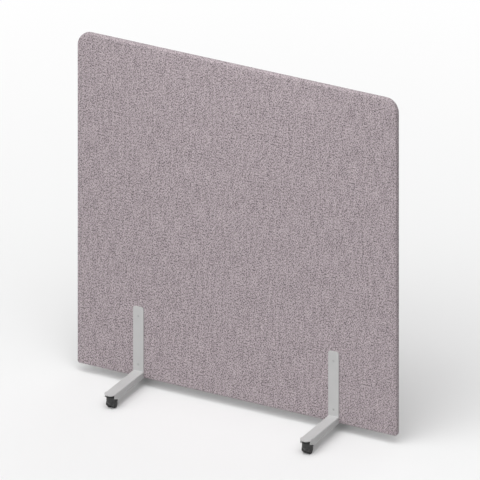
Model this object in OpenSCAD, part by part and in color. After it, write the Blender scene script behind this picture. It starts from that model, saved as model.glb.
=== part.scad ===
/* [Panel] */
// Width of the upholstered panel
panel_w = 1600; // [1300:10:2000]
// Height of the upholstered panel, without the gap under it
panel_h = 1473; // [1000:1:1800]
// Radius of the two top corners
corner_r = 60; // [30:1:100]
// Radius of the two bottom corners
base_r = 12; // [10:1:30]
// Radius that the padding gives the rim of each face
edge_r = 6; // [3:0.5:8]
// Thickness of the cover fabric
fabric_t = 1; // [0.5:0.1:1.5]
// Thickness of the foam on the faces and round the rim
foam_t = 4; // [2:0.5:6]
// Thickness of each hardboard face
board_t = 3; // [2:0.5:6]
// Length of the zip in the bottom edge of the cover
zip_l = 1400; // [600:10:1500]
// Width of the zip tape
zip_w = 10; // [6:0.5:11]

/* [Timber frame] */
// Thickness of the rails and stiles
frame_t = 12; // [9:1:18]
// Height of the bottom rail
rail_w = 60; // [30:1:90]
// Width of the two outer stiles
stile_w = 50; // [30:1:70]
// Width of the two stiles that carry the feet
leg_stile_w = 80; // [50:1:120]
// Timber left under the round of a top corner
corner_land = 5; // [2:1:20]
// Diameter of a frame dowel
dowel_d = 6; // [4:0.5:8]
// Length of a frame dowel
dowel_l = 40; // [20:1:50]

/* [Feet] */
// Distance between the middles of the left and right feet
leg_spacing = 978; // [700:1:1100]
// Thickness of the folded steel sheet
sheet_t = 4; // [3:0.5:5]
// Width of a foot
foot_w = 52; // [48:1:60]
// Height of the arm over its flanges
foot_h = 28; // [26:1:40]
// Height of the upright above the underside of the arm
leg_h = 313; // [200:1:450]
// Length of the arm from the face of the panel to its nose
foot_reach = 288; // [200:1:360]
// Radius inside the folds of the sheet
bend_r = 1; // [0.5:0.5:2]
// Radius of the top corners of the upright
leg_top_r = 12; // [4:1:20]
// Radius of the two sides of the round nose
nose_r = 23.5; // [8:0.5:25]
// Distance from the tip of the nose back to the front ends of the flanges
flange_back = 20; // [10:0.5:40]
// Length over which the lower edge of a flange rises to its front end
taper_l = 24; // [10:1:80]
// Height by which it rises
taper_rise = 8; // [4:0.5:16]
// Distance from the top of the upright to the upper screw
upper_screw_in = 42; // [20:1:60]
// Height of the lower screw above the underside of the arm
lower_screw_up = 57; // [45:1:90]
// Distance from the nose back to the caster stem
stem_setback = 27; // [22:1:40]

/* [Screws and sleeves] */
// Diameter of the foot screws
screw_d = 6; // [5:0.5:8]
// Length of the foot screws with their heads
screw_l = 16; // [12:1:17]
// Diameter of a screw head
head_d = 12; // [10:0.5:14]
// Height of the countersunk head
head_h = 3; // [2:0.5:3.5]
// Size of the hexagon socket across its corners
socket_d = 4.6; // [3:0.1:5]
// Depth of the hexagon socket
socket_h = 2; // [1:0.5:2.5]
// Outer diameter of the threaded sleeves through the panel
sleeve_d = 12; // [10:0.5:16]

/* [Casters] */
// Diameter of a wheel
wheel_d = 37; // [34:1:50]
// Width of one wheel
wheel_w = 15.5; // [11:0.5:17]
// Radius of the outer shoulder of a wheel
shoulder_r = 6; // [3:0.5:7]
// Radius of the slight dome of a wheel's outer face
dome_r = 120; // [80:5:200]
// Thickness of the rim of a wheel
rim_t = 2.8; // [2:0.1:4]
// Diameter of the hub of a wheel
hub_d = 11; // [9:0.5:13]
// Thickness of the outer wall of a wheel, beyond its recess
wall_t = 4.5; // [3:0.5:5.5]
// Thickness of a rib in the recess
rib_t = 1.4; // [1:0.1:2]
// Number of ribs in a wheel
rib_count = 8; // [3:1:9]
// Diameter of the axle
axle_d = 5; // [4:0.5:6]
// Depth of the axle bore in a wheel
axle_bore_h = 10; // [8:0.5:10]
// Distance from the swivel axis to the axle
trail = 14; // [12:0.5:20]
// Thickness of the web between the two wheels
web_t = 8; // [6:0.5:10]
// Radius of the web round the axle
web_r = 13; // [9:0.5:16]
// Wall of the hood over the wheels
hood_t = 1.5; // [1.2:0.1:3]
// Angle at which the hood ends behind the wheels, from level
hood_rear = 25; // [0:5:40]
// Angle at which the hood ends in front of the wheels, from the rear
hood_front = 195; // [170:5:205]
// Diameter of the boss that swivels on the stem
boss_d = 38; // [20:0.5:40]
// Diameter of the swivel pin
pin_d = 8; // [6:0.5:9]
// Length of the swivel pin under its collar
pin_l = 17; // [14:0.5:18]
// Height of the hexagon collar of the stem
collar_h = 3; // [2:0.5:5]
// Width of the collar and of the weld nut across the flats
nut_af = 14; // [12:0.5:16]
// Height of the weld nut
nut_h = 6.5; // [4:0.5:8]
// Thickness of the snap ring on the pin
ring_t = 1; // [0.6:0.1:1.4]
// Height of the ring's groove above the end of the pin
ring_up = 4; // [2:0.5:8]
// Height at which the cone of the boss starts, above the middle of the wheels
cone_lift = 2; // [1:0.5:4]
// Height of the cone of the boss
cone_h = 12; // [8:1:14]
// Depth of the ribs of a wheel behind its inner face
rib_drop = 1.5; // [0.5:0.5:4]
// Width of the lip in the bore of a wheel, which snaps into the axle's groove
lip_w = 1; // [0.6:0.1:1.5]
// Height of that lip
lip_depth = 0.3; // [0.2:0.05:0.4]
// Distance from that lip to the end of the bore
lip_back = 3; // [2:0.5:4]

/* [Clearances] */
// Gap between a wheel and the hood or the web
wheel_gap = 0.5; // [0.3:0.1:1]
// Gap between the top of the hood and the underside of the arm
swivel_gap = 1; // [0.5:0.1:4]
// Radial gap of a turning fit
run_gap = 0.05; // [0.02:0.01:0.1]
// End gap of a turning fit
end_gap = 0.2; // [0.1:0.05:0.5]
// Gap round what is held fast in a hole
hold_gap = 0.1; // [0.05:0.05:0.3]
// Radial play of a screw in its hole in a foot
screw_play = 0.3; // [0.1:0.05:0.5]

/* [Hidden] */
$fn = 96;

LEFT = -1;
RIGHT = 1;
FRONT = -1;
REAR = 1;
SIDES = [LEFT, RIGHT];
FACES = [FRONT, REAR];
OVERCUT = 1;

FABRIC = [0.64, 0.6, 0.62];
FOAM = [0.86, 0.84, 0.74];
WOOL = [0.45, 0.46, 0.48];
TIMBER = [0.8, 0.68, 0.48];
HARDBOARD = [0.5, 0.36, 0.24];
PAINT = [0.76, 0.76, 0.76];
STEEL = [0.62, 0.63, 0.65];
BLACK = [0.1, 0.1, 0.11];

// Heights above the floor
wheel_r = wheel_d / 2;
well_r = wheel_r + wheel_gap;
hood_r = well_r + hood_t;
foot_z = wheel_r + hood_r + swivel_gap;
plate_under = foot_z + foot_h - sheet_t;
collar_top = plate_under - nut_h;
collar_under = collar_top - collar_h;
boss_top = collar_under - end_gap;

// Panel, measured from its bottom edge, which is level with the underside of the arms
core_t = frame_t + 2 * board_t;
panel_t = core_t + 2 * (foam_t + fabric_t);
frame_inset = fabric_t + foam_t;
frame_half_w = panel_w / 2 - frame_inset;
frame_top = panel_h - frame_inset;
top_rail_z = frame_top - (corner_r - frame_inset) - corner_land;
stile_z = frame_inset + rail_w;
leg_x = leg_spacing / 2;
side_stile_x = frame_half_w - stile_w / 2;
STILES = [
    [-side_stile_x, stile_w],
    [-leg_x, leg_stile_w],
    [leg_x, leg_stile_w],
    [side_stile_x, stile_w]
];
screw_heights = [lower_screw_up, leg_h - upper_screw_in];

// Feet and casters
fold_r = bend_r + sheet_t;
flange_end = foot_reach - flange_back;
nose_lap = max(1, nose_r - flange_back + 1);
stem_y = panel_t / 2 + foot_reach - stem_setback;
wheel_x = web_t / 2 + wheel_gap;
recess_h = wheel_w - wall_t;
hood_w = 2 * (wheel_x + wheel_w);
screw_hole_d = screw_d + 2 * screw_play;
stem_thread_end = plate_under - end_gap;
groove_d = pin_d - ring_t;
ring_d = pin_d + ring_t;
lip_up = axle_bore_h - lip_back;
axle_half = wheel_x + axle_bore_h - end_gap;

// ---- Placing ----

// Stands a flat outline, drawn in width and height, up as a board from front_y back
module standing(front_y, thickness) {
    translate([0, front_y + thickness, 0])
        rotate([90, 0, 0])
            linear_extrude(thickness)
                children();
}

// Lifts what is measured from the panel's bottom edge to its height
module at_panel() {
    translate([0, 0, foot_z])
        children();
}

// Puts a front foot's piece at one of the four feet
module at_foot(side, face) {
    translate([side * leg_x, 0, 0])
        rotate([0, 0, face == FRONT ? 0 : 180])
            children();
}

// Puts a piece drawn round the swivel axis at one of the four casters
module at_stem(side, face) {
    at_foot(side, face)
        translate([0, -stem_y, 0])
            children();
}

// Puts a piece drawn round the axle, with the axle along Z, at one of the four casters
module at_axle(side, face) {
    at_stem(side, face)
        translate([0, trail, wheel_r])
            rotate([0, 90, 0])
                children();
}

// ---- Panel shapes ----

// Outline of the panel, drawn in by inset all round
module panel_outline(inset) {
    half_w = panel_w / 2 - inset;
    top = panel_h - inset;
    top_r = corner_r - inset;
    low_r = base_r - inset;
    translate([-half_w, inset + low_r])
        square([2 * half_w, top - top_r - inset - low_r]);
    translate([-(half_w - top_r), top - top_r])
        square([2 * (half_w - top_r), top_r]);
    translate([-(half_w - low_r), inset])
        square([2 * (half_w - low_r), low_r]);
    for (side = SIDES) {
        translate([side * (half_w - top_r), top - top_r])
            circle(top_r);
        translate([side * (half_w - low_r), inset + low_r])
            circle(low_r);
    }
}

// Section through a rim of the panel: reach outward, depth through it, both rims rounded
module rim_section(reach, depth, round_r) {
    translate([0, -depth / 2])
        square([reach - round_r, depth]);
    translate([0, round_r - depth / 2])
        square([reach, depth - 2 * round_r]);
    for (face = FACES)
        translate([reach - round_r, face * (depth / 2 - round_r)])
            circle(round_r);
}

// Rounded corner of the panel, from the side round to the top
module rim_corner(reach, depth, round_r) {
    rotate([90, 0, 0])
        rotate_extrude(angle = 90)
            rim_section(reach, depth, round_r);
}

// The whole panel with soft rims, drawn in by inset all round
module panel_form(inset) {
    half_w = panel_w / 2 - inset;
    top = panel_h - inset;
    depth = panel_t - 2 * inset;
    top_r = corner_r - inset;
    low_r = base_r - inset;
    round_r = edge_r - inset;
    middle_w = 2 * (half_w - top_r);
    low_w = 2 * (half_w - low_r);
    middle_h = top - top_r - inset - low_r;
    translate([-middle_w / 2, -depth / 2, inset + low_r])
        cube([middle_w, depth, middle_h]);
    translate([middle_w / 2, 0, top - top_r])
        rotate([0, -90, 0])
            linear_extrude(middle_w)
                rim_section(top_r, depth, round_r);
    translate([-low_w / 2, 0, inset + low_r])
        rotate([0, 90, 0])
            linear_extrude(low_w)
                rim_section(low_r, depth, round_r);
    for (side = [0, 1])
        mirror([side, 0, 0]) {
            translate([middle_w / 2, 0, inset + low_r])
                linear_extrude(middle_h)
                    rim_section(top_r, depth, round_r);
            translate([middle_w / 2, 0, top - top_r])
                rim_corner(top_r, depth, round_r);
            translate([low_w / 2, 0, inset + low_r])
                mirror([0, 0, 1])
                    rim_corner(low_r, depth, round_r);
        }
}

// Slice of the padding between two depths, inside the cover
module padding_slice(front_y, thickness) {
    intersection() {
        panel_form(fabric_t + hold_gap);
        translate([-panel_w / 2, front_y, 0])
            cube([panel_w, thickness, panel_h]);
    }
}

// Holes for the four sleeves, through any layer
module sleeve_holes() {
    for (side = SIDES, up = screw_heights)
        translate([side * leg_x, 0, up])
            rotate([90, 0, 0])
                cylinder(d = sleeve_d + 2 * hold_gap, h = panel_t + 2 * OVERCUT, center = true);
}

// The dowels of every joint between a stile and a rail, or their holes where spare is above 0
module dowels(spare) {
    for (stile = STILES, joint_z = [stile_z, top_rail_z], off = [-1, 1])
        translate([stile[0] + off * stile[1] / 4, 0, joint_z])
            cylinder(d = dowel_d + 2 * spare, h = dowel_l + 2 * spare, center = true);
}

// A rail or stile: the part of the frame's outline inside a box of width and height
module timber(left, right, low, high) {
    color(TIMBER)
        at_panel()
            difference() {
                standing(-frame_t / 2, frame_t)
                    intersection() {
                        panel_outline(frame_inset);
                        translate([left, low])
                            square([right - left, high - low]);
                    }
                sleeve_holes();
                dowels(hold_gap);
            }
}

module stile(index) {
    middle = STILES[index][0];
    half = STILES[index][1] / 2;
    timber(middle - half, middle + half, stile_z, top_rail_z);
}

// Sound-absorbing slab that fills the bay between two stiles
module infill(index) {
    left = STILES[index][0] + STILES[index][1] / 2 + hold_gap;
    right = STILES[index + 1][0] - STILES[index + 1][1] / 2 - hold_gap;
    color(WOOL)
        at_panel()
            translate([left, hold_gap - frame_t / 2, stile_z + hold_gap])
                cube([right - left, frame_t - 2 * hold_gap, top_rail_z - stile_z - 2 * hold_gap]);
}

module board(face) {
    color(HARDBOARD)
        at_panel()
            difference() {
                standing(face == FRONT ? -core_t / 2 : core_t / 2 - board_t, board_t)
                    panel_outline(frame_inset);
                sleeve_holes();
            }
}

module foam(face) {
    color(FOAM)
        at_panel()
            difference() {
                padding_slice(face == FRONT ? -core_t / 2 - foam_t : core_t / 2, foam_t);
                sleeve_holes();
            }
}

module edge_padding() {
    color(FOAM)
        at_panel()
            difference() {
                padding_slice(-core_t / 2, core_t);
                standing(-panel_t / 2, panel_t)
                    panel_outline(frame_inset);
            }
}

// Zip along the middle of the bottom edge, in the thickness of the cover
module zip_strip(spare) {
    translate([-zip_l / 2 - spare, -zip_w / 2 - spare, -spare])
        cube([zip_l + 2 * spare, zip_w + 2 * spare, fabric_t + spare]);
}

module fabric_cover() {
    color(FABRIC)
        at_panel()
            difference() {
                panel_form(0);
                panel_form(fabric_t);
                sleeve_holes();
                zip_strip(hold_gap);
            }
}

module cover_zip() {
    color(BLACK)
        at_panel()
            zip_strip(0);
}

// ---- Fastenings through the panel ----

module panel_sleeves() {
    color(STEEL)
        at_panel()
            for (side = SIDES, up = screw_heights)
                translate([side * leg_x, 0, up])
                    rotate([90, 0, 0])
                        difference() {
                            cylinder(d = sleeve_d, h = panel_t, center = true);
                            cylinder(d = screw_d + 2 * run_gap, h = panel_t + 2 * OVERCUT, center = true);
                        }
}

// Countersunk screw, drawn from the top of its head along +Z
module screw() {
    difference() {
        union() {
            cylinder(d1 = head_d, d2 = screw_d, h = head_h);
            cylinder(d = screw_d, h = screw_l);
        }
        translate([0, 0, -OVERCUT])
            cylinder(d = socket_d, h = socket_h + OVERCUT, $fn = 6);
    }
}

// Turns what is drawn along +Z so that it goes into the front of the panel
module into_panel(depth_y) {
    translate([0, depth_y, 0])
        rotate([-90, 0, 0])
            children();
}

module foot_screws(face) {
    color(STEEL)
        for (side = SIDES, up = screw_heights)
            at_foot(side, face)
                translate([0, 0, foot_z + up])
                    into_panel(-panel_t / 2 - sheet_t)
                        screw();
}

// ---- Folded steel foot ----

// Rectangle on the base line whose two top corners are rounded
module arch(width, height, round_r) {
    translate([-width / 2, 0])
        square([width, height - round_r]);
    translate([round_r - width / 2, 0])
        square([width - 2 * round_r, height]);
    for (side = SIDES)
        translate([side * (width / 2 - round_r), height - round_r])
            circle(round_r);
}

// What is cut from a square corner at the origin, which points to -X and -Y, to round it
module corner_waste(round_r) {
    difference() {
        translate([-OVERCUT, -OVERCUT])
            square(round_r + OVERCUT);
        translate([round_r, round_r])
            circle(round_r);
        translate([round_r, -OVERCUT])
            square(round_r + OVERCUT);
        translate([-OVERCUT, round_r])
            square(round_r + OVERCUT);
    }
}

// Section across the arm: the sheet folded down at both sides, open below
module arm_section() {
    difference() {
        arch(foot_w, foot_h, fold_r);
        translate([0, -OVERCUT])
            arch(foot_w - 2 * sheet_t, foot_h - sheet_t + OVERCUT, bend_r);
    }
}

// Turns a shape drawn in distance from the panel and height into a bar across the foot
module across_foot(width) {
    rotate([90, 0, -90])
        linear_extrude(width, center = true)
            children();
}

module arm() {
    under = foot_h - sheet_t;
    slope = taper_rise / taper_l;
    difference() {
        rotate([90, 0, 0])
            linear_extrude(flange_end)
                arm_section();
        // the lower edges of the flanges rise towards their front ends
        across_foot(foot_w + 2 * OVERCUT)
            polygon([
                [flange_end - taper_l - OVERCUT, -slope * OVERCUT],
                [flange_end + OVERCUT, -slope * OVERCUT],
                [flange_end + OVERCUT, taper_rise + slope * OVERCUT]
            ]);
        // outside of the fold between arm and upright
        across_foot(foot_w - 2 * sheet_t)
            translate([0, under])
                corner_waste(fold_r);
    }
}

// Flat round nose of the arm, beyond the flanges
module nose() {
    translate([0, nose_lap - flange_end, foot_h - sheet_t])
        linear_extrude(sheet_t)
            mirror([0, 1])
                arch(foot_w, flange_back + nose_lap, nose_r);
}

// Upright plate against the panel; its two lower legs close the ends of the flanges
module upright() {
    under = foot_h - sheet_t;
    difference() {
        standing(-sheet_t, sheet_t)
            difference() {
                arch(foot_w, leg_h, leg_top_r);
                translate([sheet_t - foot_w / 2, -OVERCUT])
                    square([foot_w - 2 * sheet_t, under + OVERCUT]);
            }
        across_foot(foot_w - 2 * sheet_t)
            translate([0, under])
                corner_waste(fold_r);
        for (up = screw_heights)
            translate([0, 0, up])
                into_panel(-sheet_t) {
                    translate([0, 0, -OVERCUT])
                        cylinder(d = screw_hole_d, h = sheet_t + 2 * OVERCUT);
                    cylinder(d1 = head_d + 2 * hold_gap, d2 = screw_d + 2 * hold_gap, h = head_h);
                    translate([0, 0, -OVERCUT])
                        cylinder(d = head_d + 2 * hold_gap, h = OVERCUT);
                }
    }
}

// Fillet in the fold, between the top of the arm and the front of the upright
module fold_fillet() {
    across_foot(foot_w - 2 * fold_r)
        translate([sheet_t, foot_h])
            difference() {
                square(bend_r);
                translate([bend_r, bend_r])
                    circle(bend_r);
            }
}

module foot(side, face) {
    color(PAINT)
        at_foot(side, face)
            translate([0, -panel_t / 2, foot_z]) {
                arm();
                nose();
                upright();
                fold_fillet();
            }
}

// ---- Casters ----

module hexagon(across_flats, height) {
    rotate([0, 0, 30])
        cylinder(r = across_flats / 2 / cos(30), h = height, $fn = 6);
}

module weld_nuts() {
    color(STEEL)
        for (side = SIDES, face = FACES)
            at_stem(side, face)
                translate([0, 0, collar_top])
                    difference() {
                        hexagon(nut_af, nut_h);
                        translate([0, 0, -OVERCUT])
                            cylinder(d = pin_d + 2 * run_gap, h = nut_h + 2 * OVERCUT);
                    }
}

// Stem: thread in the weld nut, hexagon collar, swivel pin with a groove for the ring
module caster_stem() {
    pin_low = collar_under - pin_l;
    groove_top = pin_low + ring_up + ring_t;
    translate([0, 0, pin_low])
        cylinder(d = groove_d, h = stem_thread_end - pin_low);
    translate([0, 0, pin_low])
        cylinder(d = pin_d, h = ring_up);
    translate([0, 0, groove_top])
        cylinder(d = pin_d, h = stem_thread_end - groove_top);
    translate([0, 0, collar_under])
        hexagon(nut_af, collar_h);
}

module caster_stems() {
    color(STEEL)
        for (side = SIDES, face = FACES)
            at_stem(side, face)
                caster_stem();
}

module stem_rings() {
    color(STEEL)
        for (side = SIDES, face = FACES)
            at_stem(side, face)
                translate([0, 0, collar_under - pin_l + ring_up + run_gap])
                    difference() {
                        cylinder(d = ring_d, h = ring_t - 2 * run_gap);
                        translate([0, 0, -OVERCUT])
                            cylinder(d = groove_d + 2 * run_gap, h = ring_t + 2 * OVERCUT);
                    }
}

// Part of a disc between two angles
module disc_sector(radius, start, end) {
    steps = 4;
    far = 2 * radius;
    intersection() {
        circle(radius);
        polygon(concat(
            [[0, 0]],
            [for (i = [0 : steps]) let (a = start + (end - start) * i / steps) far * [cos(a), sin(a)]]
        ));
    }
}

// Turns a shape drawn in distance behind the swivel axis and height into a bar across the caster
module across_caster(width) {
    rotate([90, 0, 90])
        linear_extrude(width, center = true)
            children();
}

// Boss round the swivel pin, drawn in to a cone where it runs into the hood
module swivel_boss() {
    cone_low = wheel_r + cone_lift;
    translate([0, 0, cone_low + cone_h])
        cylinder(d = boss_d, h = boss_top - cone_low - cone_h);
    translate([0, 0, cone_low])
        cylinder(d1 = boss_d / 2, d2 = boss_d, h = cone_h);
}

module wheel_wells() {
    for (side = SIDES)
        translate([side * (web_t / 2 + hood_w / 2), trail, wheel_r])
            rotate([0, 90, 0])
                cylinder(r = well_r, h = hood_w, center = true);
}

module hood(side, face) {
    bore_low = collar_under - pin_l - end_gap;
    ring_z = collar_under - pin_l + ring_up;
    color(BLACK)
        at_stem(side, face)
            difference() {
                union() {
                    difference() {
                        union() {
                            across_caster(hood_w)
                                translate([trail, wheel_r])
                                    disc_sector(hood_r, hood_rear, hood_front);
                            swivel_boss();
                        }
                        wheel_wells();
                    }
                    across_caster(web_t)
                        translate([trail, wheel_r])
                            circle(web_r);
                }
                translate([0, trail, wheel_r])
                    rotate([0, 90, 0])
                        cylinder(d = axle_d + 2 * run_gap, h = hood_w, center = true);
                translate([0, 0, bore_low])
                    cylinder(d = pin_d + 2 * run_gap, h = boss_top - bore_low + OVERCUT);
                translate([0, 0, ring_z - end_gap])
                    cylinder(d = ring_d + 2 * hold_gap, h = ring_t + 2 * end_gap);
            }
}

// Axle through the web, with a groove near each end that the wheel's lip snaps into
module axle(side, face) {
    groove_in = wheel_x + lip_up - end_gap;
    groove_out = wheel_x + lip_up + lip_w + end_gap;
    color(STEEL)
        at_axle(side, face) {
            cylinder(d = axle_d, h = 2 * groove_in, center = true);
            cylinder(d = axle_d - 2 * (lip_depth + hold_gap), h = 2 * groove_out, center = true);
            for (end = [0, 1])
                mirror([0, 0, end])
                    translate([0, 0, groove_out])
                        cylinder(d = axle_d, h = axle_half - groove_out);
        }
}

// Half section of a wheel: distance from the axle, and width from its inner face
module wheel_section() {
    bore_r = axle_d / 2 + run_gap;
    difference() {
        intersection() {
            union() {
                square([wheel_r, wheel_w - shoulder_r]);
                square([wheel_r - shoulder_r, wheel_w]);
                translate([wheel_r - shoulder_r, wheel_w - shoulder_r])
                    circle(shoulder_r);
            }
            translate([0, wheel_w - dome_r])
                circle(dome_r, $fn = 4 * $fn);
        }
        translate([hub_d / 2, -OVERCUT])
            square([wheel_r - rim_t - hub_d / 2, recess_h + OVERCUT]);
        translate([-OVERCUT, -OVERCUT])
            square([bore_r + OVERCUT, axle_bore_h + OVERCUT]);
    }
    translate([bore_r - lip_depth, lip_up])
        square([lip_depth, lip_w]);
}

module wheel_ribs() {
    inner = hub_d / 2 - OVERCUT;
    for (i = [0 : rib_count - 1])
        rotate([0, 0, i * 360 / rib_count])
            translate([inner, -rib_t / 2, rib_drop])
                cube([wheel_r - rim_t + OVERCUT - inner, rib_t, recess_h - rib_drop]);
}

// out is 1 for the wheel away from the middle of the partition and -1 for the other
module wheel(side, face, out) {
    color(BLACK)
        at_axle(side, face)
            mirror([0, 0, side * face * out > 0 ? 1 : 0])
                translate([0, 0, wheel_x]) {
                    rotate_extrude()
                        wheel_section();
                    wheel_ribs();
                }
}

timber(-frame_half_w, frame_half_w, top_rail_z, frame_top);  // top_rail
timber(-frame_half_w, frame_half_w, frame_inset, stile_z);  // bottom_rail
stile(0);  // left_stile
stile(1);  // left_leg_stile
stile(2);  // right_leg_stile
stile(3);  // right_stile
color(TIMBER) at_panel() dowels(0);  // frame_dowels
infill(0);  // left_infill
infill(1);  // centre_infill
infill(2);  // right_infill
board(FRONT);  // front_board
board(REAR);  // rear_board
foam(FRONT);  // front_foam
foam(REAR);  // rear_foam
edge_padding();
fabric_cover();
cover_zip();
panel_sleeves();
foot_screws(FRONT);  // front_foot_screws
foot_screws(REAR);  // rear_foot_screws
foot(LEFT, FRONT);  // left_front_foot
foot(RIGHT, FRONT);  // right_front_foot
foot(LEFT, REAR);  // left_rear_foot
foot(RIGHT, REAR);  // right_rear_foot
weld_nuts();
caster_stems();
stem_rings();
hood(LEFT, FRONT);  // left_front_hood
hood(RIGHT, FRONT);  // right_front_hood
hood(LEFT, REAR);  // left_rear_hood
hood(RIGHT, REAR);  // right_rear_hood
axle(LEFT, FRONT);  // left_front_axle
axle(RIGHT, FRONT);  // right_front_axle
axle(LEFT, REAR);  // left_rear_axle
axle(RIGHT, REAR);  // right_rear_axle
wheel(LEFT, FRONT, 1);  // left_front_outer_wheel
wheel(LEFT, FRONT, -1);  // left_front_inner_wheel
wheel(RIGHT, FRONT, 1);  // right_front_outer_wheel
wheel(RIGHT, FRONT, -1);  // right_front_inner_wheel
wheel(LEFT, REAR, 1);  // left_rear_outer_wheel
wheel(LEFT, REAR, -1);  // left_rear_inner_wheel
wheel(RIGHT, REAR, 1);  // right_rear_outer_wheel
wheel(RIGHT, REAR, -1);  // right_rear_inner_wheel
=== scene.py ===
import math

import bmesh
import bpy
from mathutils import Matrix, Vector, noise


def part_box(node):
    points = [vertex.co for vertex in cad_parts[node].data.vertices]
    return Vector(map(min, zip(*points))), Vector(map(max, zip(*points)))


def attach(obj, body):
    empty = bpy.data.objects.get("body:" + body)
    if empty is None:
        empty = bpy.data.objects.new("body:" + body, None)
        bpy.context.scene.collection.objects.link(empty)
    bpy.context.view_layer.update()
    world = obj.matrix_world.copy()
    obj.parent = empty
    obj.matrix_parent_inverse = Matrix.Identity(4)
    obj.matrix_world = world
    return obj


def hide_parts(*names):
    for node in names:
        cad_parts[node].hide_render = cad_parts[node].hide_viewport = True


# Looks of a rolling partition: the upholstered panel and its zip are modelled here, and every
# other piece gets its finish. Lengths are in metres, and rates of patterns in repeats per metre.

TINY = 1e-9
SIDES = ("left", "right")
FACES = {"front": -1, "rear": 1}


# ---- Node helpers ----

# Part of a noise's range that is spread over a blend. The narrower one gives more contrast
NOISE_RANGE = (0.3, 0.7)
NOISE_MIDDLE = (0.35, 0.65)

# Cosine between the face and its softened normal, on open faces and on sharp edges
OPEN_FACING = 1.0
EDGE_FACING = 0.9
BEVEL_SAMPLES = 4

WHITE = (1.0, 1.0, 1.0, 1.0)


def new_material(name):
    """A material with an empty node tree, and the tree."""
    material = bpy.data.materials.new(name)
    material.use_nodes = True
    material.node_tree.nodes.clear()
    return material, material.node_tree


def add(tree, kind, settings=None, **inputs):
    """Adds a node, sets its properties, and sets or links its inputs, by name or as i0, i1 and so on."""
    node = tree.nodes.new("ShaderNode" + kind)
    for key, value in (settings or {}).items():
        setattr(node, key, value)
    for key, value in inputs.items():
        number = key[1:]
        socket = node.inputs[int(number) if number.isdigit() else key.replace("_", " ")]
        if isinstance(value, bpy.types.NodeSocket):
            tree.links.new(value, socket)
        else:
            socket.default_value = value
    return node


def math_node(tree, operation, a, b=0.0):
    return add(tree, "Math", {"operation": operation}, i0=a, i1=b).outputs[0]


def multiply_add(tree, value, factor, addend):
    """value * factor + addend."""
    return add(tree, "Math", {"operation": "MULTIPLY_ADD"}, i0=value, i1=factor, i2=addend).outputs[0]


def blend_value(tree, factor, low, high):
    """low where factor is 0, high where it is 1."""
    return add(tree, "Mix", {"data_type": "FLOAT"}, i0=factor, i2=low, i3=high).outputs[0]


def blend_colour(tree, factor, low, high, how="MIX"):
    settings = {"data_type": "RGBA", "blend_type": how}
    return add(tree, "Mix", settings, i0=factor, i6=low, i7=high).outputs[2]


def rgb(red, green, blue):
    return (red, green, blue, 1.0)


def grey(level):
    return rgb(level, level, level)


def noise_value(tree, vector, scale=1.0, detail=2.0, roughness=0.5):
    node = add(tree, "TexNoise", None, Vector=vector, Scale=scale, Detail=detail, Roughness=roughness)
    return node.outputs["Fac"]


def stretch(tree, value, low, high, new_low=0.0, new_high=1.0):
    """Spreads low to high over new_low to new_high, and clamps what lies beyond."""
    node = add(tree, "MapRange", {"clamp": True}, Value=value)
    node.inputs["From Min"].default_value = low
    node.inputs["From Max"].default_value = high
    node.inputs["To Min"].default_value = new_low
    node.inputs["To Max"].default_value = new_high
    return node.outputs["Result"]


def scaled(tree, vector, x, y, z=1.0):
    return add(tree, "Mapping", None, Vector=vector, Scale=(x, y, z)).outputs[0]


def object_place(tree):
    return add(tree, "TexCoord").outputs["Object"]


def edge_highlight_and_wear(tree, colour, width, share, highlight_and_wear_colour):
    """Blends a paler colour in along sharp edges: a painted highlight, partly standing for wear. Gives
    the colour, and a normal softened there.
    """
    soft = add(tree, "Bevel", {"samples": BEVEL_SAMPLES}, Radius=width).outputs[0]
    plain = add(tree, "NewGeometry").outputs["Normal"]
    facing = add(tree, "VectorMath", {"operation": "DOT_PRODUCT"}, i0=soft, i1=plain).outputs["Value"]
    edges = stretch(tree, facing, OPEN_FACING, EDGE_FACING)
    return blend_colour(tree, math_node(tree, "MULTIPLY", edges, share), colour, highlight_and_wear_colour), soft


def bump(tree, height, distance, normal=None, strength=1.0):
    """A normal tilted by a height from 0 to 1, which stands for 0 to distance in metres."""
    node = add(tree, "Bump", None, Height=height, Distance=distance, Strength=strength)
    if normal is not None:
        tree.links.new(normal, node.inputs["Normal"])
    return node.outputs[0]


def finish_material(tree, **inputs):
    """Ends the tree in one Principled shader, whose inputs are named with _ for spaces."""
    shader = add(tree, "BsdfPrincipled", None, **inputs)
    output = add(tree, "OutputMaterial")
    tree.links.new(shader.outputs[0], output.inputs["Surface"])


# ---- Fabric ----

# Yarns, and how far apart the noise of neighbours, and of warp and weft, is taken
YARN_PITCH = 0.0026
WAVER_RATE = 60.0
WAVER_WIDTH = 0.0012
YARN_SPREAD = 7.31
WARP_SEED = 3.7
WEFT_SEED = 91.3

# Tone along a yarn: flecks and streaks, and the share that the streaks have in it
FLECK_RATE = 170.0
FLECK_RANGE = (0.38, 0.56)
STREAK_RATE = 14.0
STREAK_RANGE = (0.36, 0.64)
WARP_STREAKS = 0.2
WEFT_STREAKS = 0.15

# Tone over the cloth: slubs, veins and fibres, with pairs of rates across and up
SLUB_RATES = (230.0, 150.0)
SLUB_RANGE = (0.40, 0.55)
SLUB_SHARE = 0.60
VEIN_RATES = (80.0, 12.0)
VEIN_RANGE = (0.36, 0.64)
VEIN_SHARE = 0.13
FIBRE_RATE = 2600.0
FIBRE_SHARE = 0.10

# Relief, in heights from 0 between two yarns to 1 on a crown
FIBRE_HEIGHT = 0.25
DIP_HEIGHT = 0.6
# Painted shade in the gaps between the yarns: the heights over which it fades, and how much of the
# colour it leaves
GAP_HEIGHTS = (0.0, 0.55)
GAP_SHADES = (0.62, 1.0)
WEAVE_DEPTH = 0.00035
WEAVE_RELIEF = 0.8

MELANGE_DARK = rgb(0.020, 0.013, 0.016)
MELANGE_LIGHT = rgb(0.652, 0.558, 0.590)


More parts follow.
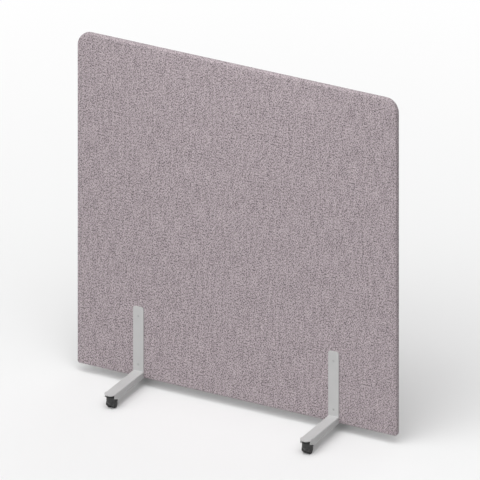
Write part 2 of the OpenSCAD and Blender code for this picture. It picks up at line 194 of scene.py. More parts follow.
def wavering_axes(tree, place):
    """Places across and up the cloth, on yarns that waver a little."""
    wobble = add(tree, "TexNoise", None, Vector=place, Scale=WAVER_RATE, Detail=1.0).outputs["Color"]
    width = (WAVER_WIDTH, WAVER_WIDTH, 0.0)
    shifted = add(tree, "VectorMath", {"operation": "MULTIPLY_ADD"}, i0=wobble, i1=width, i2=place)
    axes = add(tree, "SeparateXYZ", None, i0=shifted.outputs[0])
    return axes.outputs[0], axes.outputs[1]


def yarn_noise(tree, row, along, rate, limits):
    """Noise that changes along a yarn, and from one yarn to the next."""
    travelled = math_node(tree, "MULTIPLY", along, rate)
    place = add(tree, "CombineXYZ", None, i0=row, i1=travelled).outputs[0]
    return stretch(tree, noise_value(tree, place, detail=0.0), *limits)


def yarn_tone(tree, number, along, seed, streakiness):
    """Melange tone of one yarn along its length: short flecks of dark fibre and long streaks."""
    row = multiply_add(tree, number, YARN_SPREAD, seed)
    fleck = yarn_noise(tree, row, along, FLECK_RATE, FLECK_RANGE)
    streak = yarn_noise(tree, row, along, STREAK_RATE, STREAK_RANGE)
    return blend_value(tree, streakiness, fleck, streak)


def uneven_tone(tree, tone, place, fibre):
    """Adds thick and thin stretches of yarn, faint veins up the cloth, and single fibres."""
    slub = noise_value(tree, scaled(tree, place, *SLUB_RATES), detail=1.0)
    tone = blend_value(tree, SLUB_SHARE, tone, stretch(tree, slub, *SLUB_RANGE))
    vein = noise_value(tree, scaled(tree, place, *VEIN_RATES), detail=1.0)
    tone = blend_value(tree, VEIN_SHARE, tone, stretch(tree, vein, *VEIN_RANGE))
    return blend_value(tree, FIBRE_SHARE, tone, fibre)


def yarn_round(tree, place):
    """0 between two yarns, 1 on the crown of one, from a place counted in yarns."""
    half_turn = math_node(tree, "MULTIPLY", math_node(tree, "FRACT", place), math.pi)
    return math_node(tree, "SINE", half_turn)


def yarn_height(tree, crown, other):
    """Height of a yarn that lies on top, which dips beside the yarn that it crosses."""
    dip = multiply_add(tree, other, 1 - DIP_HEIGHT, DIP_HEIGHT)
    return math_node(tree, "MULTIPLY", crown, dip)


def yarn_colour(tree, tone, height):
    """Colour of the yarns, with painted shade in the gaps between them."""
    colour = blend_colour(tree, tone, MELANGE_DARK, MELANGE_LIGHT)
    gap = stretch(tree, height, *GAP_HEIGHTS, *GAP_SHADES)
    shade = add(tree, "CombineColor", None, i0=gap, i1=gap, i2=gap).outputs[0]
    return blend_colour(tree, 1.0, colour, shade, "MULTIPLY")


def melange_fabric():
    """Plain weave of melange yarns. The UV map holds places on the cloth in metres."""
    material, tree = new_material("melange_fabric")
    place = add(tree, "UVMap", {"uv_map": "weave"}).outputs[0]
    across, up = wavering_axes(tree, place)
    warp_place = math_node(tree, "DIVIDE", across, YARN_PITCH)
    weft_place = math_node(tree, "DIVIDE", up, YARN_PITCH)
    warp_number = math_node(tree, "FLOOR", warp_place)
    weft_number = math_node(tree, "FLOOR", weft_place)
    crossing = math_node(tree, "ADD", warp_number, weft_number)
    weft_on_top = math_node(tree, "FLOORED_MODULO", crossing, 2.0)

    warp_tone = yarn_tone(tree, warp_number, up, WARP_SEED, WARP_STREAKS)
    weft_tone = yarn_tone(tree, weft_number, across, WEFT_SEED, WEFT_STREAKS)
    yarns = blend_value(tree, weft_on_top, warp_tone, weft_tone)
    fibre = noise_value(tree, scaled(tree, place, FIBRE_RATE, FIBRE_RATE))
    tone = uneven_tone(tree, yarns, place, fibre)

    warp_crown = yarn_round(tree, warp_place)
    weft_crown = yarn_round(tree, weft_place)
    warp_height = yarn_height(tree, warp_crown, weft_crown)
    weft_height = yarn_height(tree, weft_crown, warp_crown)
    height = blend_value(tree, weft_on_top, warp_height, weft_height)
    relief = multiply_add(tree, fibre, FIBRE_HEIGHT, height)

    finish_material(
        tree, Base_Color=yarn_colour(tree, tone, height), Roughness=0.95,
        Normal=bump(tree, relief, WEAVE_DEPTH, strength=WEAVE_RELIEF),
        Sheen_Weight=0.15, Sheen_Roughness=0.6, Specular_IOR_Level=0.2,
    )
    return material


TWILL_RATE = 420.0
TWILL_DEPTH = 0.00015
TWILL_DARK = rgb(0.012, 0.012, 0.013)
TWILL_LIGHT = rgb(0.045, 0.045, 0.048)


def zip_tape():
    """Black twill tape."""
    material, tree = new_material("zip_tape")
    settings = {"wave_type": "BANDS", "bands_direction": "DIAGONAL"}
    twill = add(tree, "TexWave", settings, Vector=object_place(tree), Scale=TWILL_RATE).outputs["Fac"]
    finish_material(
        tree, Base_Color=blend_colour(tree, twill, TWILL_DARK, TWILL_LIGHT), Roughness=0.9,
        Sheen_Weight=0.2, Normal=bump(tree, twill, TWILL_DEPTH),
    )
    return material


# ---- Metal and nylon ----

# Each _EDGES holds how wide the paler edges are, how much they show, and their colour: a painted
# highlight, partly standing for wear

PEEL_RATE = 900.0
PEEL_DEPTH = 0.00008
COAT_CLOUD_RATE = 14.0
COAT_CLOUD_SHARE = 0.5
COAT_ROUGHNESS = (0.38, 0.5)
COAT_EDGES = (0.0009, 0.5, grey(0.66))
COAT_DARK = rgb(0.459, 0.457, 0.456)
COAT_LIGHT = rgb(0.500, 0.498, 0.497)


def powder_coat():
    """Satin light grey powder coat on folded sheet, a little brighter along its edges: a painted
    highlight, partly standing for wear.
    """
    material, tree = new_material("grey_powder_coat")
    place = object_place(tree)
    peel = noise_value(tree, place, PEEL_RATE)
    cloud = noise_value(tree, place, COAT_CLOUD_RATE)
    tone = stretch(tree, blend_value(tree, COAT_CLOUD_SHARE, peel, cloud), *NOISE_MIDDLE)
    coat = blend_colour(tree, tone, COAT_DARK, COAT_LIGHT)
    # Paler edges: a painted highlight, partly standing for wear
    colour, soft = edge_highlight_and_wear(tree, coat, *COAT_EDGES)
    rough = stretch(tree, cloud, *NOISE_RANGE, *COAT_ROUGHNESS)
    normal = bump(tree, peel, PEEL_DEPTH, soft)
    finish_material(tree, Base_Color=colour, Roughness=rough, Normal=normal)
    return material


ZINC_CLOUD_RATE = 120.0
ZINC_CLOUD_SHADE = 0.85
SCRATCH_RATES = (3000.0, 3000.0, 160.0)
SCRATCH_SHARE = 0.5
SCRATCH_DEPTH = 0.00002
ZINC_ROUGHNESS = (0.25, 0.45)
ZINC_EDGES = (0.0003, 0.4, grey(0.8))
PLATE_TINT = (0.60, 0.61, 0.62)
SCREW_TINT = (0.46, 0.46, 0.46)


def zinc(name, tint):
    """Bright zinc plate with a faint cloudiness, fine scratches and brighter edges: a painted highlight,
    partly standing for wear.
    """
    material, tree = new_material(name)
    place = object_place(tree)
    cloud = noise_value(tree, place, ZINC_CLOUD_RATE, detail=3.0)
    scratch = noise_value(tree, scaled(tree, place, *SCRATCH_RATES), detail=1.0)
    shade = [channel * ZINC_CLOUD_SHADE for channel in tint]
    plate = blend_colour(tree, cloud, rgb(*shade), rgb(*tint))
    # Paler edges: a painted highlight, partly standing for wear
    colour, soft = edge_highlight_and_wear(tree, plate, *ZINC_EDGES)
    wear = blend_value(tree, SCRATCH_SHARE, cloud, scratch)
    rough = stretch(tree, wear, *NOISE_RANGE, *ZINC_ROUGHNESS)
    normal = bump(tree, scratch, SCRATCH_DEPTH, soft)
    finish_material(tree, Base_Color=colour, Metallic=1.0, Roughness=rough, Normal=normal)
    return material


NYLON_CLOUD_RATE = 60.0
NYLON_DEPTH = 0.00006
NYLON_ROUGHNESS = (0.36, 0.52)
NYLON_EDGES = (0.0005, 0.35, grey(0.11))


def black_nylon(name, dark, light, grain, gloss):
    """Moulded black nylon with a fine spark-eroded grain and paler edges: a painted highlight, partly
    standing for wear.
    """
    material, tree = new_material(name)
    place = object_place(tree)
    fine = noise_value(tree, place, grain)
    cloud = noise_value(tree, place, NYLON_CLOUD_RATE)
    skin = blend_colour(tree, cloud, grey(dark), grey(light))
    # Paler edges: a painted highlight, partly standing for wear
    colour, soft = edge_highlight_and_wear(tree, skin, *NYLON_EDGES)
    rough = stretch(tree, fine, *NOISE_RANGE, *NYLON_ROUGHNESS)
    normal = bump(tree, fine, NYLON_DEPTH, soft)
    finish_material(tree, Base_Color=colour, Roughness=rough, Normal=normal, Specular_IOR_Level=gloss)
    return material


# ---- Core of the panel, which the cover hides ----

GRAIN_RATES = (160.0, 160.0, 9.0)
PORE_RATES = (1200.0, 1200.0, 60.0)
PORE_SHARE = 0.3
PORE_DEPTH = 0.0001
TIMBER_ROUGHNESS = (0.6, 0.8)
TIMBER_DARK = rgb(0.50, 0.33, 0.17)
TIMBER_LIGHT = rgb(0.72, 0.55, 0.34)
TIMBER_PORE = rgb(0.42, 0.27, 0.14)


def timber():
    """Raw plywood: upright grain with darker late wood lines."""
    material, tree = new_material("plywood")
    place = object_place(tree)
    grain = noise_value(tree, scaled(tree, place, *GRAIN_RATES), detail=4.0, roughness=0.6)
    pores = noise_value(tree, scaled(tree, place, *PORE_RATES))
    wood = blend_colour(tree, stretch(tree, grain, *NOISE_MIDDLE), TIMBER_DARK, TIMBER_LIGHT)
    colour = blend_colour(tree, math_node(tree, "MULTIPLY", pores, PORE_SHARE), wood, TIMBER_PORE)
    rough = stretch(tree, pores, *NOISE_RANGE, *TIMBER_ROUGHNESS)
    finish_material(tree, Base_Color=colour, Roughness=rough, Normal=bump(tree, pores, PORE_DEPTH))
    return material


BOARD_FIBRE_RATE = 420.0
BOARD_CLOUD_RATE = 18.0
BOARD_CLOUD_SHARE = 0.3
BOARD_DEPTH = 0.00015
BOARD_ROUGHNESS = (0.55, 0.75)
BOARD_DARK = rgb(0.19, 0.11, 0.055)
BOARD_LIGHT = rgb(0.42, 0.27, 0.15)
BOARD_CLOUD = rgb(0.30, 0.19, 0.10)


def hardboard():
    """Pressed wood fibre with dark flecks."""
    material, tree = new_material("hardboard")
    place = object_place(tree)
    fibre = noise_value(tree, place, BOARD_FIBRE_RATE, detail=4.0, roughness=0.7)
    cloud = noise_value(tree, place, BOARD_CLOUD_RATE)
    board = blend_colour(tree, stretch(tree, fibre, *NOISE_RANGE), BOARD_DARK, BOARD_LIGHT)
    clouded = math_node(tree, "MULTIPLY", cloud, BOARD_CLOUD_SHARE)
    colour = blend_colour(tree, clouded, board, BOARD_CLOUD)
    rough = stretch(tree, fibre, *NOISE_RANGE, *BOARD_ROUGHNESS)
    finish_material(tree, Base_Color=colour, Roughness=rough, Normal=bump(tree, fibre, BOARD_DEPTH))
    return material


WOOL_FIBRE_RATE = 700.0
WOOL_CLOUD_RATE = 25.0
WOOL_CLOUD_SHARE = 0.35
WOOL_TONES = (0.32, 0.68)
WOOL_DEPTH = 0.0006
WOOL_DARK = rgb(0.10, 0.105, 0.11)
WOOL_LIGHT = rgb(0.34, 0.35, 0.37)


def pressed_wool():
    """Grey sound-absorbing fibre slab."""
    material, tree = new_material("pressed_wool")
    place = object_place(tree)
    fibre = noise_value(tree, place, WOOL_FIBRE_RATE, detail=5.0, roughness=0.75)
    cloud = noise_value(tree, place, WOOL_CLOUD_RATE, detail=3.0)
    tone = stretch(tree, blend_value(tree, WOOL_CLOUD_SHARE, fibre, cloud), *WOOL_TONES)
    colour = blend_colour(tree, tone, WOOL_DARK, WOOL_LIGHT)
    finish_material(tree, Base_Color=colour, Roughness=0.95, Normal=bump(tree, fibre, WOOL_DEPTH))
    return material


HOOD_TONES = (0.018, 0.031)
HOOD_GRAIN = 1500.0
# The wheels' tones are darker than the hood's: painted shade on the wheels, whose sides face away from
# the light
WHEEL_SHADED_TONES = (0.010, 0.020)
WHEEL_GRAIN = 900.0


def finish_nodes(nodes, plate):
    """Gives the CAD nodes their materials, by the kind of piece."""
    finishes = {
        ("_sleeves", "_nuts", "_stems", "_rings", "_axle"): plate,
        ("_screws",): zinc("screw_zinc", SCREW_TINT),
        ("_hood",): black_nylon("hood_nylon", *HOOD_TONES, HOOD_GRAIN, gloss=0.5),
        ("_wheel",): black_nylon("wheel_nylon_painted_shade", *WHEEL_SHADED_TONES, WHEEL_GRAIN, gloss=0.3),
        ("_rail", "_stile", "_dowels"): timber(),
        ("_infill",): pressed_wool(),
        ("_board",): hardboard(),
        ("_foot",): powder_coat(),
    }
    for name, node in nodes.items():
        for endings, material in finishes.items():
            if name.endswith(endings):
                node.data.materials.clear()
                node.data.materials.append(material)


# ---- Mesh helpers ----

def make_piece(name, mesh, *materials, smooth=True):
    """Turns a bmesh into an object of the scene."""
    data = bpy.data.meshes.new(name)
    mesh.to_mesh(data)
    mesh.free()
    data.polygons.foreach_set("use_smooth", [smooth] * len(data.polygons))
    for material in materials:
        data.materials.append(material)
    piece = bpy.data.objects.new(name, data)
    bpy.context.scene.collection.objects.link(piece)
    return piece


def add_block(mesh, centre, size, taper=1.0, index=0):
    """A block whose underside is drawn in by taper, with the material of that index."""
    half_x, half_y, half_z = (length / 2 for length in size)
    verts = []
    for z, share in ((half_z, 1.0), (-half_z, taper)):
        for x, y in ((-half_x, -half_y), (half_x, -half_y), (half_x, half_y), (-half_x, half_y)):
            corner = (centre[0] + x * share, centre[1] + y * share, centre[2] + z)
            verts.append(mesh.verts.new(corner))
    for ids in ((0, 1, 2, 3), (7, 6, 5, 4), (0, 4, 5, 1), (1, 5, 6, 2), (2, 6, 7, 3), (3, 7, 4, 0)):
        mesh.faces.new([verts[i] for i in ids]).material_index = index


# ---- Shape of the upholstered panel ----

RIM_R = 0.006
TOP_CORNER_R = 0.060
BASE_CORNER_R = 0.012

# Swell of the faces, and the waves on it, which the shift makes different front and rear
FACE_SWELL = 0.0005
SWELL_START = 0.020
WAVE_HEIGHT = 0.0003
WAVE_LENGTH = 0.28
WAVE_SHIFT = 3.0

# Press marks behind the uprights, and how far the cloth stays behind their steel
PRESS_MARGIN = 0.014
PRESS_GAP = 0.00005

# Seams, the strip between them, and its slot for the zip
SEAM_DEPTH = 0.0008
RIM_BULGE = 0.0008
ZIP_SLOT_DEPTH = 0.0011
ZIP_SLOT_SHARE = 0.65


def corner_turn(aside, beyond):
    """Angle of a point in a corner, where the square rings of the sheet become round ones."""
    eighth = math.pi / 4
    if aside >= beyond:
        return eighth * beyond / aside
    return 2 * eighth - eighth * aside / beyond


class Panel:
    """Outline of the panel, drawn as a square-cornered sheet whose corners are then rounded off."""

    def __init__(self):
        low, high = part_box("fabric_cover")
        self.half_w = high.x
        self.half_t = high.y
        self.low = low.z
        self.height = high.z - low.z

    def inset(self, x, z):
        """Distance from the rim, measured on the sheet."""
        return min(self.half_w - abs(x), z, self.height - z)

    def corner(self, x, z):
        """Middle of a corner's round, distances aside and beyond it, and 1 at the top or -1 below.

        None where the point is in no corner.
        """
        rounds = (
            (TOP_CORNER_R, self.height - TOP_CORNER_R, 1),
            (BASE_CORNER_R, BASE_CORNER_R, -1),
        )
        for radius, middle_z, sign in rounds:
            middle_x = self.half_w - radius
            aside = abs(x) - middle_x
            beyond = (z - middle_z) * sign
            if aside > TINY and beyond > TINY:
                return (middle_x, middle_z), aside, beyond, sign
        return None

    def rounded(self, x, z):
        """Where a point of the sheet lies once the corners are rounded."""
        found = self.corner(x, z)
        if found is None:
            return x, z
        middle, aside, beyond, sign = found
        turn = corner_turn(aside, beyond)
        reach = max(aside, beyond)
        round_x = middle[0] + reach * math.cos(turn)
        return math.copysign(round_x, x), middle[1] + sign * reach * math.sin(turn)

    def outward(self, x, z):
        """Direction straight out of the nearest side of the rim at a point of the sheet."""
        found = self.corner(x, z)
        if found is not None:
            _, aside, beyond, sign = found
            turn = corner_turn(aside, beyond)
            return math.copysign(math.cos(turn), x), sign * math.sin(turn)
        if self.half_w - abs(x) <= min(z, self.height - z):
            return math.copysign(1.0, x), 0.0
        return 0.0, (1.0 if z > self.height / 2 else -1.0)


class Bars:
    """The four uprights, which press the padding flat behind them."""

    def __init__(self, panel):
        self.outlines = []
        for face, face_sign in FACES.items():
            for side in SIDES:
                low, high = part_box(f"{side}_{face}_foot")
                self.outlines.append((face_sign, low.x, high.x, high.z - panel.low))

    def clear(self, x, z, face_sign):
        """0 behind an upright, rising to 1 where its press mark ends."""
        least = 1.0
        for sign, low, high, top in self.outlines:
            if sign == face_sign:
                away = math.hypot(max(low - x, x - high, 0.0), max(z - top, 0.0))
                share = min(away / PRESS_MARGIN, 1.0)
                least = min(least, math.sin(share * math.pi / 2))
        return least


def face_depth(panel, bars, x, z, face_sign):
    """Distance of the cloth from the middle plane: round at the rim, then a slight, uneven swell."""
    inset = panel.inset(x, z)
    if inset < RIM_R:
        rise = math.sqrt(max(RIM_R**2 - (RIM_R - inset) ** 2, 0.0))
        return panel.half_t - RIM_R + rise
    away = min((inset - RIM_R) / SWELL_START, 1.0)
    wave = noise.noise(Vector((x, z, face_sign * WAVE_SHIFT)) / WAVE_LENGTH)
    swell = (FACE_SWELL + WAVE_HEIGHT * wave) * math.sin(away * math.pi / 2)
    clear = bars.clear(x, z, face_sign)
    return panel.half_t + swell * clear - PRESS_GAP * (1 - clear)


def cloth_place(panel, x, z):
    """Place on the flat cloth, which reaches further out where it turns over the rim."""
    round_x, round_z = panel.rounded(x, z)
    inset = panel.inset(x, z)
    if inset >= RIM_R:
        return round_x + panel.half_w, round_z
    turned = math.acos(max(-1.0, min(1.0, 1 - inset / RIM_R)))
    spare = RIM_R * (math.pi / 2 - turned) - (RIM_R - inset)
    out = panel.outward(x, z)
    return round_x + panel.half_w + out[0] * spare, round_z + out[1] * spare


def rim_offset(step, over_zip):
    """How far the strip stands out of the rim. At the zip it turns in and leaves a slot."""
    if over_zip:
        return -ZIP_SLOT_DEPTH if abs(step) < ZIP_SLOT_SHARE else 0.0
    return RIM_BULGE * (1 - step * step)


# ---- Mesh of the upholstered panel ----

# Steps over the round of the rim, and grid lines near the rim and round a press mark
RIM_STEPS = 8
NEAR_LINES = [0.009, BASE_CORNER_R, 0.018, 0.026, 0.036, 0.048, TOP_CORNER_R]
PRESS_LINES = [-0.002, 0.002, 0.006, 0.010, PRESS_MARGIN]
FACE_STEP = 0.020
LEAST_GAP = FACE_STEP / 4
LINE_DIGITS = 6

# Places across the strip between the seams, which lie at -1 and 1
STRIP_STEPS = [-0.86, -0.68, -0.6, -0.3, 0.0, 0.3, 0.6, 0.68, 0.86]


def press_lines(bars):
    """Grid lines that draw the press marks: across, and up."""
    across, up = set(), set()
    for _, low, high, top in bars.outlines:
        across.update(round(low - margin, LINE_DIGITS) for margin in PRESS_LINES)
        across.update(round(high + margin, LINE_DIGITS) for margin in PRESS_LINES)
        up.update(round(top + margin, LINE_DIGITS) for margin in PRESS_LINES)
    return sorted(across), sorted(up)


def grid_lines(length, extra):
    """Places of grid lines over a length: dense over both rims, even between, and the extra ones."""
    turns = [math.pi / 2 * k / RIM_STEPS for k in range(RIM_STEPS + 1)]
    near = [RIM_R * (1 - math.cos(turn)) for turn in turns] + NEAR_LINES
    start, end = TOP_CORNER_R, length - TOP_CORNER_R
    count = math.ceil((end - start) / FACE_STEP)
    middle = [start + (end - start) * k / count for k in range(1, count)]
    clear = [m for m in middle if all(abs(m - e) > LEAST_GAP for e in extra)]
    return sorted(near + [length - n for n in near] + clear + extra)


def border(columns, rows):
    """Grid indices once round the border."""
    last_c, last_r = columns - 1, rows - 1
    ring = [(c, 0) for c in range(last_c)] + [(last_c, r) for r in range(last_r)]
    ring += [(c, last_r) for c in range(last_c, 0, -1)]
    return ring + [(0, r) for r in range(last_r, 0, -1)]


class Cover:
    """The cover as one closed mesh: a grid over each face, and a strip round the rim between them."""

    def __init__(self):
        self.panel = Panel()
        self.bars = Bars(self.panel)
        half_w = self.panel.half_w
        across, up = press_lines(self.bars)
        columns = grid_lines(2 * half_w, [x + half_w for x in across])
        self.xs = [x - half_w for x in columns]
        self.zs = grid_lines(self.panel.height, up)
        self.strip_half = self.panel.half_t - RIM_R
        self.zip_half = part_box("cover_zip")[1].x
        self.mesh = bmesh.new()
        self.weave = self.mesh.loops.layers.uv.new("weave")
        self.points = {}

    def face_point(self, c, r, face_sign):
        """Point of a face at a grid crossing. The seam, on the rim itself, is drawn in a little."""
        x, z = self.xs[c], self.zs[r]
        round_x, round_z = self.panel.rounded(x, z)
        if self.panel.inset(x, z) < TINY:
            out = self.panel.outward(x, z)
            round_x -= out[0] * SEAM_DEPTH
            round_z -= out[1] * SEAM_DEPTH
        depth = face_depth(self.panel, self.bars, x, z, face_sign)
        return self.mesh.verts.new((round_x, face_sign * depth, self.panel.low + round_z))

    def add_points(self):
        for face_sign in FACES.values():
            for c in range(len(self.xs)):
                for r in range(len(self.zs)):
                    self.points[face_sign, c, r] = self.face_point(c, r, face_sign)

    def add_quad(self, points, places):
        """A face whose corners have these places on the cloth."""
        face = self.mesh.faces.new(points)
        for loop, place in zip(face.loops, places):
            loop[self.weave].uv = place

    def add_faces(self):
        for face_sign in FACES.values():
            for c in range(len(self.xs) - 1):
                for r in range(len(self.zs) - 1):
                    corners = [(c, r), (c + 1, r), (c + 1, r + 1), (c, r + 1)]
                    if face_sign > 0:
                        corners.reverse()
                    points = [self.points[(face_sign, *corner)] for corner in corners]
                    places = [cloth_place(self.panel, self.xs[i], self.zs[j]) for i, j in corners]
                    self.add_quad(points, places)

    def strip_row(self, c, r):
        """Points across the strip at one place of the rim, from seam to seam."""
        x, z = self.xs[c], self.zs[r]
        round_x, round_z = self.panel.rounded(x, z)
        out = self.panel.outward(x, z)
        over_zip = z < TINY and abs(x) < self.zip_half
        row = [self.points[FACES["front"], c, r]]
        for step in STRIP_STEPS:
            proud = rim_offset(step, over_zip)
            height = self.panel.low + round_z + out[1] * proud
            row.append(self.mesh.verts.new((round_x + out[0] * proud, step * self.strip_half, height)))
        return row + [self.points[FACES["rear"], c, r]]

    def add_strip(self):
        """The strip of cloth between the two seams, all round the rim."""
        ring = border(len(self.xs), len(self.zs))
        rows = [self.strip_row(c, r) for c, r in ring]
        rows.append(rows[0])
        corners = [self.panel.rounded(self.xs[c], self.zs[r]) for c, r in ring + ring[:1]]
        lengths = [0.0]
        for here, there in zip(corners, corners[1:]):
            lengths.append(lengths[-1] + math.dist(here, there))
        steps = [-1.0, *STRIP_STEPS, 1.0]
        for k in range(len(ring)):
            for s in range(len(steps) - 1):
                quad = [(k, s), (k, s + 1), (k + 1, s + 1), (k + 1, s)]
                points = [rows[i][j] for i, j in quad]
                self.add_quad(points, [(lengths[i], steps[j] * self.strip_half) for i, j in quad])

    def build(self, fabric):
        self.add_points()
        self.add_faces()
        self.add_strip()
        bmesh.ops.recalc_face_normals(self.mesh, faces=self.mesh.faces)
        return make_piece("upholstered_panel", self.mesh, fabric)


# ---- Zip in the bottom edge ----

TAPE_T = 0.0006
TAPE_GAP = 0.0002
TOOTH_PITCH = 0.003
TOOTH_LENGTH = 0.0032
TOOTH_WIDTH = 0.00144
TOOTH_HEIGHT = 0.0011
TOOTH_SHIFT = 0.00096
TOOTH_TAPER = 0.8
FIRST_TOOTH = 0.0144
SLIDER_LENGTH = 0.009
SLIDER_WIDTH = 0.0075
SLIDER_HEIGHT = 0.0022
SLIDER_TAPER = 0.8
PULL_LENGTH = 0.018
PULL_WIDTH = 0.0045
PULL_T = 0.0008
PULL_SHIFT = 0.0072
PULL_TAPER = 0.9

# Place of the slider's metal among the zip's materials
METAL = 1


def add_teeth(mesh, start, end, top):
    """Two rows of teeth that mesh: the second is shifted by half a pitch."""
    count = int((end - start - 2 * SLIDER_LENGTH) / TOOTH_PITCH)
    size = (TOOTH_WIDTH, TOOTH_LENGTH, TOOTH_HEIGHT)
    for k in range(count):
        for sign, lag in ((-1, 0.0), (1, 0.5)):
            x = start + FIRST_TOOTH + (k + lag) * TOOTH_PITCH
            if x < end - TOOTH_PITCH:
                add_block(mesh, (x, sign * TOOTH_SHIFT, top - TOOTH_HEIGHT / 2), size, TOOTH_TAPER)


def add_slider(mesh, x, top):
    """The slider and its pull, which hangs flat under it."""
    middle = top - SLIDER_HEIGHT / 2
    add_block(mesh, (x, 0.0, middle), (SLIDER_LENGTH, SLIDER_WIDTH, SLIDER_HEIGHT), SLIDER_TAPER, METAL)
    middle = top - SLIDER_HEIGHT - PULL_T / 2
    add_block(mesh, (x + PULL_SHIFT, 0.0, middle), (PULL_LENGTH, PULL_WIDTH, PULL_T), PULL_TAPER, METAL)


def build_zip(tape, metal):
    """Closed zip that faces down: two tapes, meshed teeth, and a slider at the end on the left."""
    low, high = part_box("cover_zip")
    mesh = bmesh.new()
    for sign in FACES.values():
        centre = (0.0, sign * high.y / 2, high.z - TAPE_T / 2)
        add_block(mesh, centre, (high.x - low.x, high.y - TAPE_GAP, TAPE_T))
    add_teeth(mesh, low.x, high.x, high.z - TAPE_T)
    add_slider(mesh, low.x + SLIDER_LENGTH, high.z - TAPE_T)
    bmesh.ops.recalc_face_normals(mesh, faces=mesh.faces)
    return make_piece("cover_zip_teeth", mesh, tape, metal, smooth=False)


# ---- Floor, light and camera ----

FLOOR_HALF = 24.0
FLOOR_SEEN = grey(0.778)
FLOOR_BOUNCE = grey(0.50)
FADE_START = 0.6
FADE_END = 4.6
SKY_STRENGTH = 0.3

# Soft lights: name, azimuth and elevation in degrees, strength
SOFT_LIGHTS = [
    ("steep_left", -30.0, 75.0, 0.84),
    ("low_left", -40.0, 30.0, 0.64),
    ("low_front", -10.0, 30.0, 0.52),
    ("right", 20.0, 55.0, 0.65),
    ("far_right", 60.0, 55.0, 0.64),
    ("behind", 180.0, 30.0, 0.31),
]
LIGHT_SPREAD = 45.0
TOP_LAMP_PLACE = Vector((0.0, -1.0, 2.4))
TOP_LAMP_AIM = Vector((0.0, 0.0, 1.2))
TOP_LAMP_SIZE = 1.2
TOP_LAMP_POWER = 5.7

# How the photograph was taken, from a fit of the object's outline in it. The turn is in
# radians, and the rise is how far the view falls for each metre ahead. The aim is the middle
# of the panel's underside, and the distance and the pixels per metre are measured there.
IMAGE_SIZE = 480
VIEW_TURN = 0.490
VIEW_RISE = 0.435
VIEW_DISTANCE = 67.141
PIXELS_PER_METRE = 226.1
AIM_PIXEL = (236.93, 397.68)
SENSOR_WIDTH = 36.0
CLIP_START = 1.0
CLIP_END = 500.0


def seen_ray(tree):
    """1 for rays that show the background: straight from the camera, mirrored or through glass."""
    path = add(tree, "LightPath")
    seen = math_node(tree, "MAXIMUM", path.outputs["Is Camera Ray"], path.outputs["Is Glossy Ray"])
    return math_node(tree, "MAXIMUM", seen, path.outputs["Is Transmission Ray"])


def build_floor():
    """White floor that keeps the shadow and fades into the background further out."""
    material, tree = new_material("floor_white")
    distance = add(tree, "VectorMath", {"operation": "LENGTH"}, i0=object_place(tree)).outputs["Value"]
    seen = seen_ray(tree)
    far = math_node(tree, "MULTIPLY", stretch(tree, distance, FADE_START, FADE_END), seen)
    colour = blend_colour(tree, seen, FLOOR_BOUNCE, FLOOR_SEEN)
    near_shader = add(tree, "BsdfDiffuse", None, Color=colour).outputs[0]
    far_shader = add(tree, "Emission", None, Color=WHITE, Strength=1.0).outputs[0]
    mixed = add(tree, "MixShader", None, i0=far, i1=near_shader, i2=far_shader)
    output = add(tree, "OutputMaterial")
    tree.links.new(mixed.outputs[0], output.inputs["Surface"])
    mesh = bmesh.new()
    bmesh.ops.create_grid(mesh, x_segments=1, y_segments=1, size=FLOOR_HALF)
    make_piece("studio_floor", mesh, material)


def build_world():
    """An even sky for the light, and plain white where the background is seen."""
    world = bpy.data.worlds.new("studio")
    world.use_nodes = True
    tree = world.node_tree
    tree.nodes.clear()
    sky = add(tree, "Background", None, Color=WHITE, Strength=SKY_STRENGTH)
    backdrop = add(tree, "Background", None, Color=WHITE, Strength=1.0)
    mixed = add(tree, "MixShader", None, i0=seen_ray(tree), i1=sky.outputs[0], i2=backdrop.outputs[0])
    output = add(tree, "OutputWorld")
    tree.links.new(mixed.outputs[0], output.inputs["Surface"])
    bpy.context.scene.world = world


def place_light(name, lamp, towards):
    """Puts a lamp in the scene, shining from that direction."""
    holder = bpy.data.objects.new(name, lamp)
    bpy.context.scene.collection.objects.link(holder)
    holder.rotation_euler = towards.to_track_quat("Z", "Y").to_euler()
    return holder


def add_sun(name, azimuth, elevation, strength):
    """A soft, even light. Azimuth 0 shines from the front, and a positive one from the right."""
    lamp = bpy.data.lights.new(name, "SUN")
    lamp.energy = strength
    lamp.angle = math.radians(LIGHT_SPREAD)
    turn, rise = math.radians(azimuth), math.radians(elevation)
    level = math.cos(rise)
    place_light(name, lamp, Vector((math.sin(turn) * level, -math.cos(turn) * level, math.sin(rise))))


def add_top_lamp():
    """A soft lamp near the top edge, which makes the panel a little lighter there than at its foot."""
    lamp = bpy.data.lights.new("top_lamp", "AREA")
    lamp.energy = TOP_LAMP_POWER
    lamp.size = TOP_LAMP_SIZE
    holder = place_light("top_lamp", lamp, TOP_LAMP_PLACE - TOP_LAMP_AIM)
    holder.location = TOP_LAMP_PLACE
    holder.visible_camera = False


def build_lights():
    """A wide arc of soft light in front, one from behind, and a lamp near the top edge."""
    build_world()
    for name, azimuth, elevation, strength in SOFT_LIGHTS:
        add_sun(name, azimuth, elevation, strength)
    add_top_lamp()


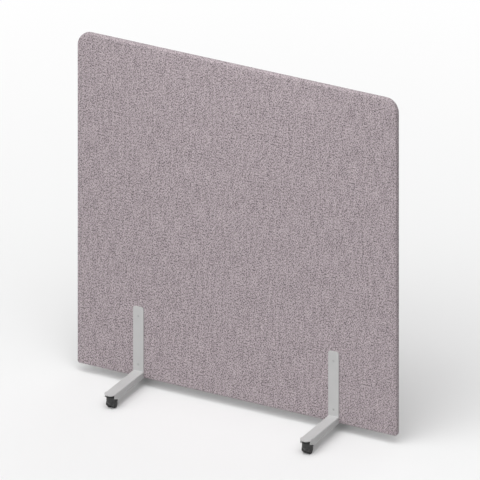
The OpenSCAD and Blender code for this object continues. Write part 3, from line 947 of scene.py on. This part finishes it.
def build_camera():
    """A view with upright verticals, as the photograph has.

    The camera looks down while its image plane stays upright. That takes a sheared matrix,
    which a camera can't have by itself, so the link to its stand holds it.
    """
    data = bpy.data.cameras.new("photo_camera")
    camera = bpy.data.objects.new("photo_camera", data)
    bpy.context.scene.collection.objects.link(camera)
    focal = PIXELS_PER_METRE * VIEW_DISTANCE
    centre = (IMAGE_SIZE - 1) / 2
    right = Vector((math.cos(VIEW_TURN), math.sin(VIEW_TURN), 0.0))
    ahead = Vector((-math.sin(VIEW_TURN), math.cos(VIEW_TURN), 0.0))
    up = Vector((0.0, 0.0, 1.0))
    aside = (AIM_PIXEL[0] - centre) / focal
    down = VIEW_RISE - (AIM_PIXEL[1] - centre) / focal
    back = -ahead + aside * right + down * up
    aim = Vector((0.0, 0.0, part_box("fabric_cover")[0].z))
    leaning = Matrix((right, up, back.normalized())).transposed().to_4x4()
    leaning.translation = aim - ahead * VIEW_DISTANCE + up * (VIEW_RISE * VIEW_DISTANCE)
    data.sensor_width = SENSOR_WIDTH
    data.lens = focal * back.length * SENSOR_WIDTH / IMAGE_SIZE
    data.clip_start = CLIP_START
    data.clip_end = CLIP_END
    stand = bpy.data.objects.new("camera_stand", None)
    bpy.context.scene.collection.objects.link(stand)
    camera.parent = stand
    camera.matrix_parent_inverse = leaning
    bpy.context.scene.camera = camera


# ---- The scene ----

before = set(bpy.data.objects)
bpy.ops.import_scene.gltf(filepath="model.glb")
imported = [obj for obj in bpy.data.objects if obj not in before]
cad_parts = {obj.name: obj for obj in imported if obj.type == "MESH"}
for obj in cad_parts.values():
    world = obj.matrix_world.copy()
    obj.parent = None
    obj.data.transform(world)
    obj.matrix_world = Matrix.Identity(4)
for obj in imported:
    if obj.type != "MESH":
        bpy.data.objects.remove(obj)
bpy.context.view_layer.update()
build_camera()
build_lights()
build_floor()
plate = zinc("zinc_plate", PLATE_TINT)
finish_nodes(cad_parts, plate)

cover = Cover().build(melange_fabric())
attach(cover, "partition")
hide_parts("fabric_cover", "front_foam", "rear_foam", "edge_padding")

closed_zip = build_zip(zip_tape(), plate)
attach(closed_zip, "partition")
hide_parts("cover_zip")

scene = bpy.context.scene
scene.view_settings.view_transform = "Standard"
